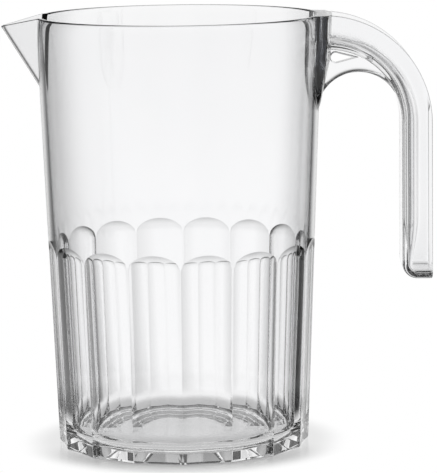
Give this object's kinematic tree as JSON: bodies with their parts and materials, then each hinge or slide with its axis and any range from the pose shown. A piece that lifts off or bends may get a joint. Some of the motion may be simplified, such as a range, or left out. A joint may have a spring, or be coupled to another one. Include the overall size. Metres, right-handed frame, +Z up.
{
  "type": "beer pitcher",
  "caption": "Clear plastic pouring pitcher: tapered round body with flat arched flutes below, a V shaped spout at the rim and an open channel handle bonded on opposite it.",
  "frame": {"origin": "centre of the flat underside of the foot, on the table", "axes": "+Z up to the rim, +X towards the handle, -X towards the spout, Y across the handle"},
  "size_m": [0.1904, 0.127, 0.1915],
  "materials": {
    "clear_plastic": "clear, high gloss"
  },
  "bodies": {
    "root": {"body": "clear_plastic", "spout": "clear_plastic", "handle": "clear_plastic"}
  },
  "joints": []
}
